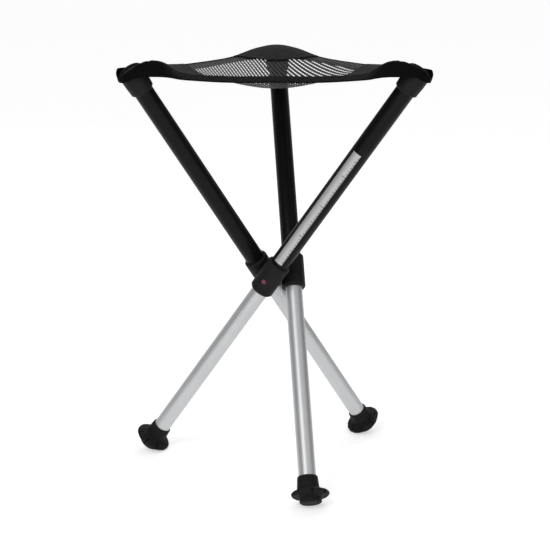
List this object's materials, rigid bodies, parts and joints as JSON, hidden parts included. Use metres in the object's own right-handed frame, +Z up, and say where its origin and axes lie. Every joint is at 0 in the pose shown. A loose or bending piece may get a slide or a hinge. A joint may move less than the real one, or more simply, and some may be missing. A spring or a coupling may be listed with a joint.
{
  "type": "collapsible telescopic stool",
  "caption": "Folding stool on crossed telescopic tube legs with push-button locks, slit rubber feet and a slung three-cornered mesh seat edged with webbing",
  "frame": {"origin": "On the floor, straight under the middle of the hub where the legs cross.", "axes": "+Z is up. +X points from the hub's axis through the pivot of the leg that carries the seat's rear corner, and +Y is the way that this leg leans as it rises, roughly to the rear corner."},
  "size_m": [0.395, 0.4185, 0.559],
  "materials": {
    "hub_plastic": "moulded, fine grain",
    "washer_plastic": "smooth",
    "steel": "plain turned steel",
    "black_tube": "satin black coating on aluminium",
    "bare_tube": "satin clear anodised",
    "black_plastic": "moulded, fine grain",
    "red_button": "smooth dark red",
    "foot_rubber": "matt moulded rubber",
    "seat_mesh": "coated open mesh",
    "seat_cloth": "close black weave",
    "webbing": "ribbed black webbing",
    "foil_label": "matt silver foil"
  },
  "bodies": {
    "hub": {"hub_core": "hub_plastic", "pivot_screws": "steel", "pivot_washers": "washer_plastic", "seat_panel": "seat_mesh", "front_seat_band": "webbing", "right_seat_band": "webbing", "left_seat_band": "webbing", "rear_corner_patch": "seat_cloth", "left_corner_patch": "seat_cloth", "right_corner_patch": "seat_cloth"},
    "rear_leg": {"rear_upper_tube": "black_tube", "rear_hub_collar": "black_plastic", "rear_guide_bush": "black_plastic", "rear_top_cap": "black_plastic", "rear_corner_sleeve": "seat_cloth"},
    "rear_lower_leg": {"rear_lower_tube": "bare_tube", "rear_glide_plug": "black_plastic", "rear_lock_plunger": "steel", "rear_lock_spring": "steel", "rear_foot_core": "black_plastic", "rear_foot": "foot_rubber"},
    "rear_button": {"rear_release_button": "red_button"},
    "left_leg": {"left_upper_tube": "black_tube", "left_hub_collar": "black_plastic", "left_guide_bush": "black_plastic", "left_top_cap": "black_plastic", "left_corner_sleeve": "seat_cloth"},
    "left_lower_leg": {"left_lower_tube": "bare_tube", "left_glide_plug": "black_plastic", "left_lock_plunger": "steel", "left_lock_spring": "steel", "left_foot_core": "black_plastic", "left_foot": "foot_rubber"},
    "left_button": {"left_release_button": "red_button"},
    "right_leg": {"right_upper_tube": "black_tube", "right_hub_collar": "black_plastic", "right_guide_bush": "black_plastic", "right_top_cap": "black_plastic", "right_corner_sleeve": "seat_cloth", "right_label": "foil_label"},
    "right_lower_leg": {"right_lower_tube": "bare_tube", "right_glide_plug": "black_plastic", "right_lock_plunger": "steel", "right_lock_spring": "steel", "right_foot_core": "black_plastic", "right_foot": "foot_rubber"},
    "right_button": {"right_release_button": "red_button"}
  },
  "joints": [
    {"name": "rear_fold", "type": "hinge", "parent": "hub", "child": "rear_leg", "pos_m": [0.0235, 0, 0.25947], "axis": [1, 0, 0], "range_deg": [0, 35.9], "deforming": ["seat_panel", "front_seat_band", "right_seat_band", "left_seat_band", "rear_corner_patch", "left_corner_patch", "right_corner_patch"]},
    {"name": "rear_slide", "type": "slide", "parent": "rear_leg", "child": "rear_lower_leg", "axis": [0, 0.5864, 0.81], "range_m": [0, 0.255]},
    {"name": "rear_button_press", "type": "slide", "parent": "rear_leg", "child": "rear_button", "axis": [-1, 0, 0], "range_m": [0, 0.0016], "stiffness_N_per_m": 500},
    {"name": "left_fold", "type": "hinge", "parent": "hub", "child": "left_leg", "pos_m": [-0.01175, 0.02035, 0.25947], "axis": [-0.5, 0.866, 0], "range_deg": [0, 35.9]},
    {"name": "left_slide", "type": "slide", "parent": "left_leg", "child": "left_lower_leg", "axis": [-0.5078, -0.2932, 0.81], "range_m": [0, 0.255]},
    {"name": "left_button_press", "type": "slide", "parent": "left_leg", "child": "left_button", "axis": [0.5, -0.866, 0], "range_m": [0, 0.0016], "stiffness_N_per_m": 500},
    {"name": "right_fold", "type": "hinge", "parent": "hub", "child": "right_leg", "pos_m": [-0.01175, -0.02035, 0.25947], "axis": [-0.5, -0.866, 0], "range_deg": [0, 35.9]},
    {"name": "right_slide", "type": "slide", "parent": "right_leg", "child": "right_lower_leg", "axis": [0.5078, -0.2932, 0.81], "range_m": [0, 0.255]},
    {"name": "right_button_press", "type": "slide", "parent": "right_leg", "child": "right_button", "axis": [0.5, 0.866, 0], "range_m": [0, 0.0016], "stiffness_N_per_m": 500}
  ],
  "couplings": [
    {"joint": "left_fold", "follows": "rear_fold", "ratio": 1},
    {"joint": "right_fold", "follows": "rear_fold", "ratio": 1}
  ]
}
